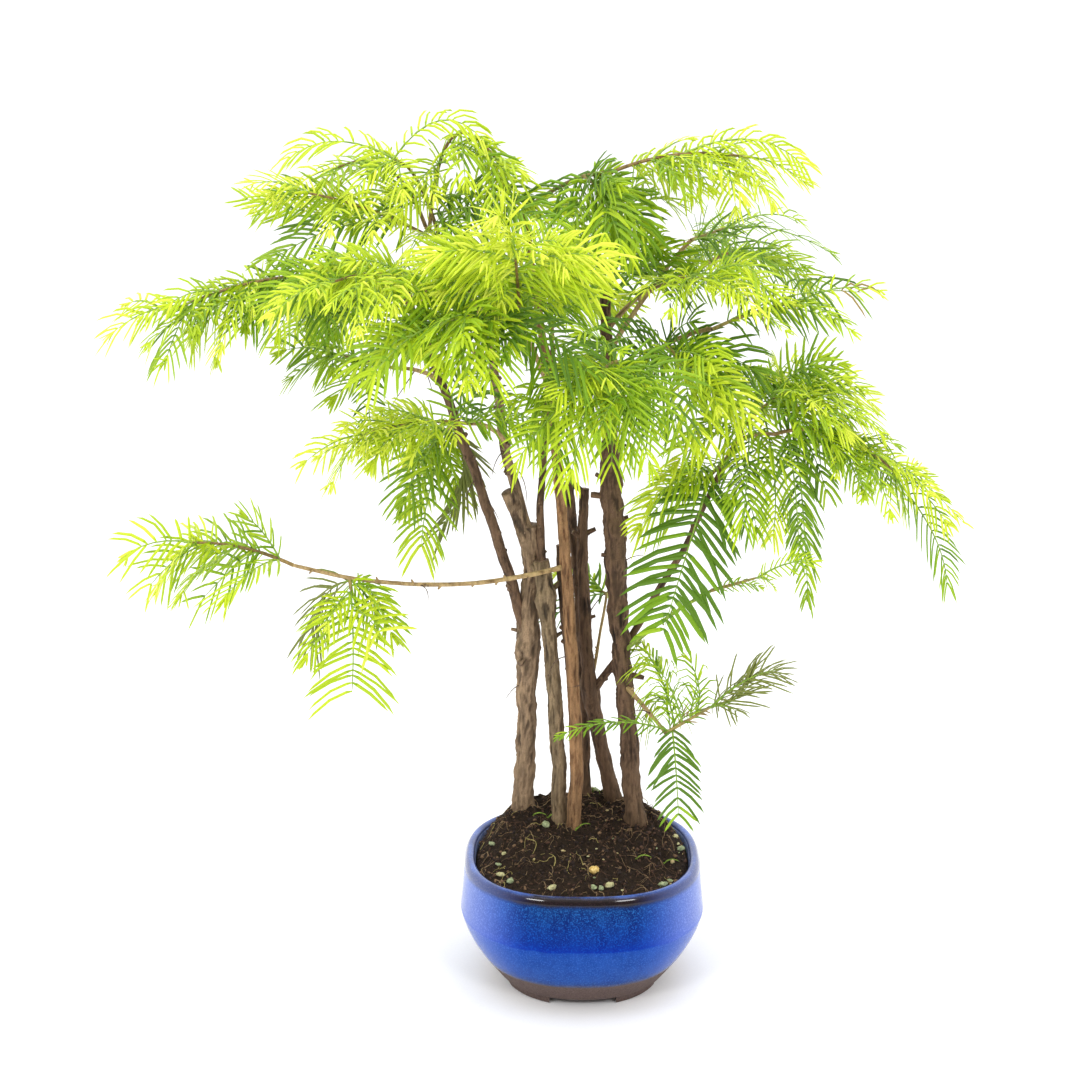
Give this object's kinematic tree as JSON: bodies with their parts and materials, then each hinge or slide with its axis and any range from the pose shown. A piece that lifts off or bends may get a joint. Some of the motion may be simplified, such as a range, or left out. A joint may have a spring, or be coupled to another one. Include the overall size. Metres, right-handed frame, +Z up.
{
  "type": "dawn redwood bonsai forest",
  "caption": "Potted miniature forest: slender leaning trunks, thin arching boughs and feathery fronds of soft needles above an oval blue glazed pot on low feet.",
  "frame": {"origin": "at table level, on the flat underside of the pot's feet, under the middle of the whole plant's bounding box", "axes": "+Z up along the trunks, +X to the right along the front of the pot, -Y towards the viewer of the front"},
  "size_m": [0.4618, 0.3232, 0.4866],
  "materials": {
    "glaze": "gloss",
    "soil": "matte",
    "bark": "matte",
    "twig": "matte",
    "foliage": "matte"
  },
  "bodies": {
    "root": {"trunk_left_inner": "bark", "trunk_centre": "bark", "trunk_back_slim": "bark", "trunk_back": "bark", "trunk_right": "bark", "trunk_left": "bark", "branch_left": "twig", "leader_left": "twig", "whip_left_inner": "twig", "fork_centre": "twig", "fork_back": "twig", "twig_back": "twig", "low_left": "twig", "low_right": "twig", "twig_right": "twig", "bough_left_top": "twig", "bough_top_right": "twig", "bough_upper_right": "twig", "bough_right": "twig", "bough_front": "twig", "bough_front_right": "twig", "bough_left_low": "twig", "bough_left_hang": "twig", "bough_left_under": "twig", "bough_left_front": "twig", "bough_right_far": "twig", "bough_back_left": "twig", "bough_back_right": "twig", "spray_low_left_hanging": "foliage", "spray_low_left": "foliage", "spray_big_frond": "foliage", "spray_low_right": "foliage", "spray_twig_right": "foliage", "spray_inner": "foliage", "spray_front_star": "foliage", "spray_front_right": "foliage", "spray_front": "foliage", "spray_left_far": "foliage", "spray_left_front": "foliage", "spray_left_top": "foliage", "spray_left_upper": "foliage", "spray_top_arch": "foliage", "spray_top_left": "foliage", "spray_left_under": "foliage", "spray_left_low": "foliage", "spray_left_hanging": "foliage", "spray_top_right": "foliage", "spray_top_right_hanging": "foliage", "spray_top_back": "foliage", "spray_right_fan": "foliage", "spray_right_bright": "foliage", "spray_right_tip": "foliage", "spray_right_inner": "foliage", "spray_right_far": "foliage", "spray_right_cluster": "foliage", "spray_back_centre": "foliage", "spray_back_left": "foliage", "spray_back_right": "foliage", "pot": "glaze", "soil": "soil"}
  },
  "joints": []
}
